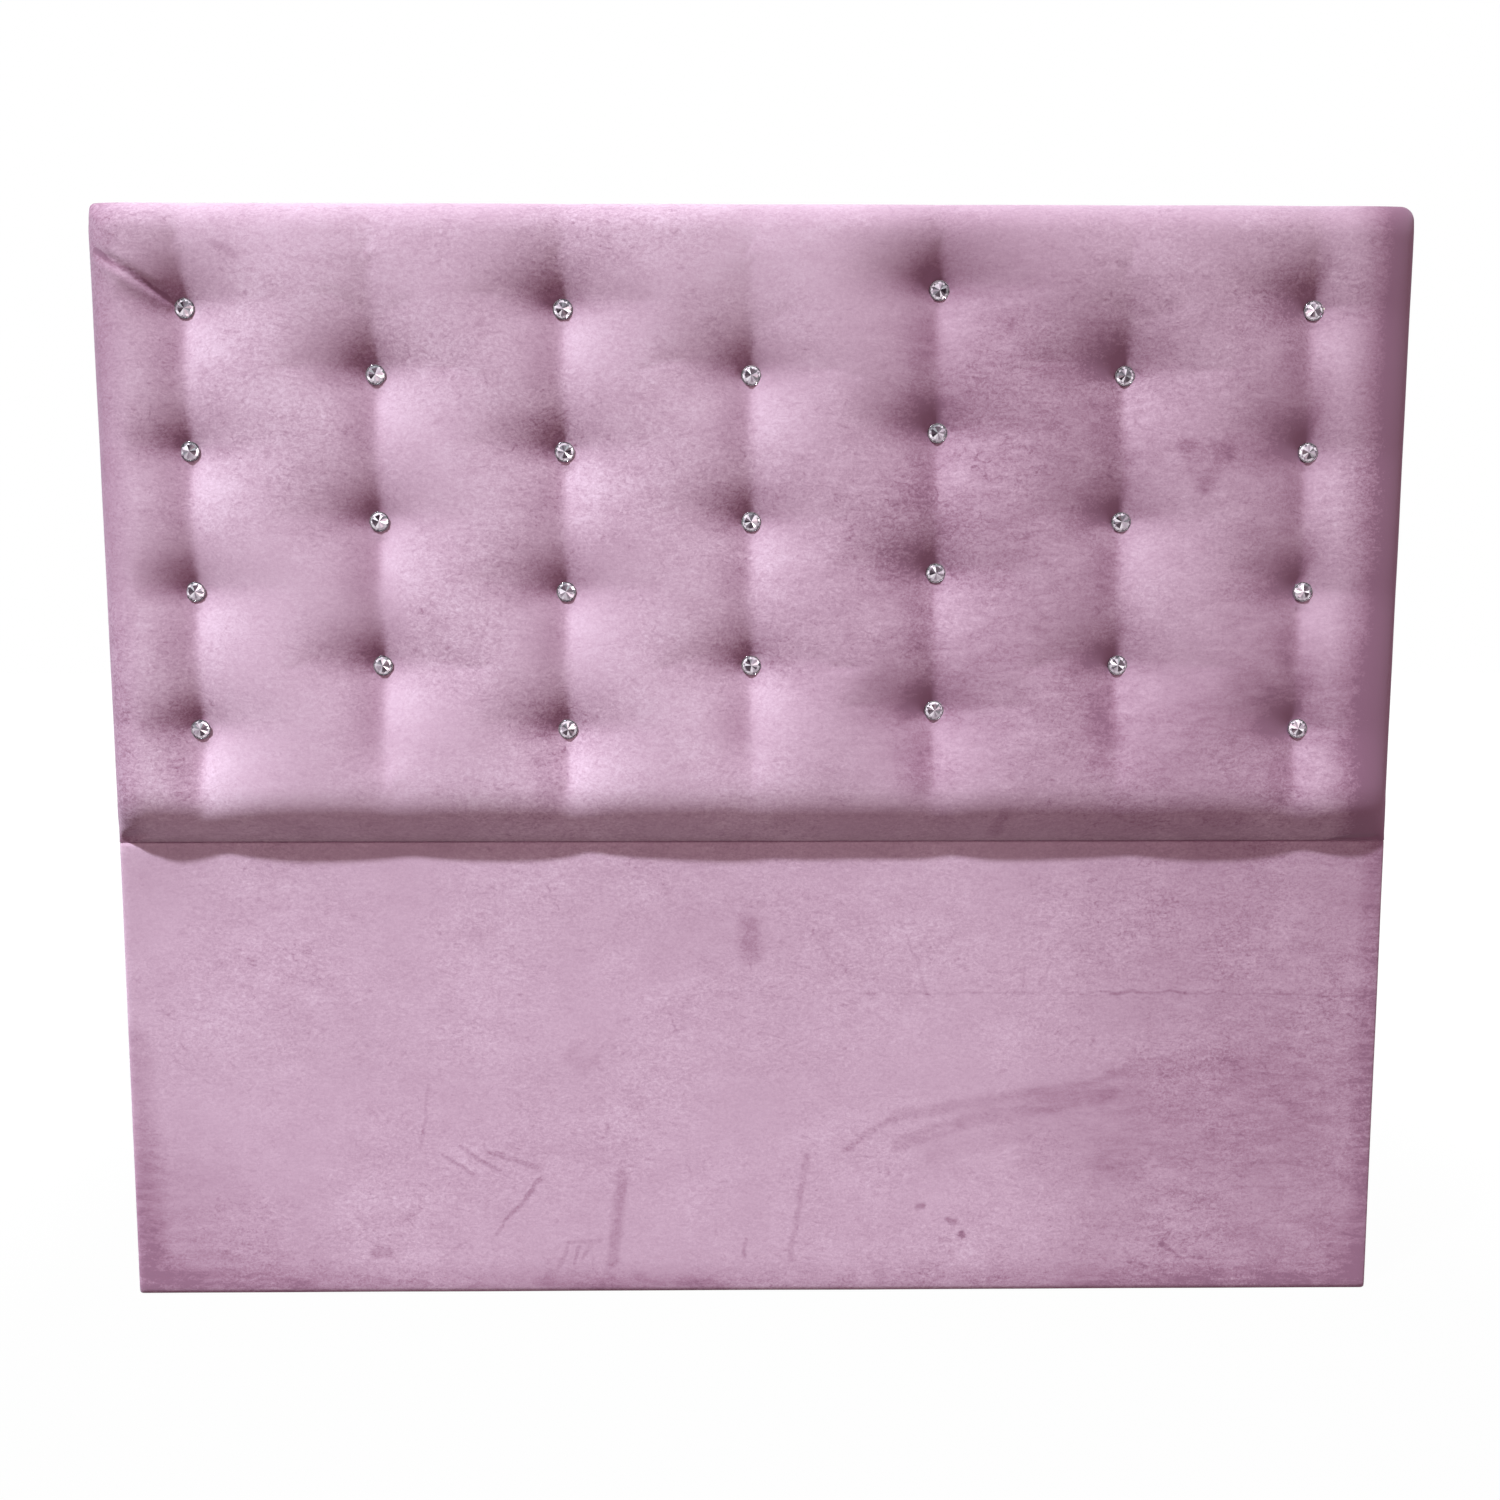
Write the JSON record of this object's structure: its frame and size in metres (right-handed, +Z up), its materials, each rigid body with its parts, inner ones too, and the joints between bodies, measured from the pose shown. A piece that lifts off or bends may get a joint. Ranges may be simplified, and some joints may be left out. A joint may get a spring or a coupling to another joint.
{
  "type": "headboard",
  "caption": "Floor-standing upholstered headboard in pink-mauve velvet: a cushion tufted with crystal buttons above a flat velvet panel, on a pine frame with a lined back.",
  "frame": {"origin": "on the floor, in the middle of the width and of the depth", "axes": "+X across the headboard to its right seen from the front, +Y from the front to the back, +Z up; the buttoned front faces -Y"},
  "size_m": [1.4, 0.1203, 1.2],
  "materials": {
    "velvet": "matte",
    "foam": "matte",
    "lining": "matte",
    "twine": "matte",
    "pine": "matte",
    "plywood": "matte",
    "tack_card": "matte",
    "washer_fibre": "matte",
    "crystal": "polished",
    "cup_metal": "polished",
    "loop_wire": "satin",
    "screw_steel": "satin",
    "staple_steel": "satin"
  },
  "bodies": {
    "root": {"back_lining": "lining", "cover_staples": "staple_steel", "crystal_cups": "cup_metal", "crystal_stones": "crystal", "cup_loops": "loop_wire", "face_board": "plywood", "face_board_screws": "screw_steel", "frame_bottom_rail": "pine", "frame_left_stile": "pine", "frame_left_stud": "pine", "frame_middle_rail": "pine", "frame_right_stile": "pine", "frame_right_stud": "pine", "frame_screws": "screw_steel", "frame_top_rail": "pine", "lining_staples": "staple_steel", "lower_foam": "foam", "lower_velvet_cover": "velvet", "tack_strip": "tack_card", "tack_strip_staples": "staple_steel", "tuft_twines": "twine", "twine_washers": "washer_fibre", "upper_foam": "foam", "upper_velvet_cover": "velvet"}
  },
  "joints": []
}
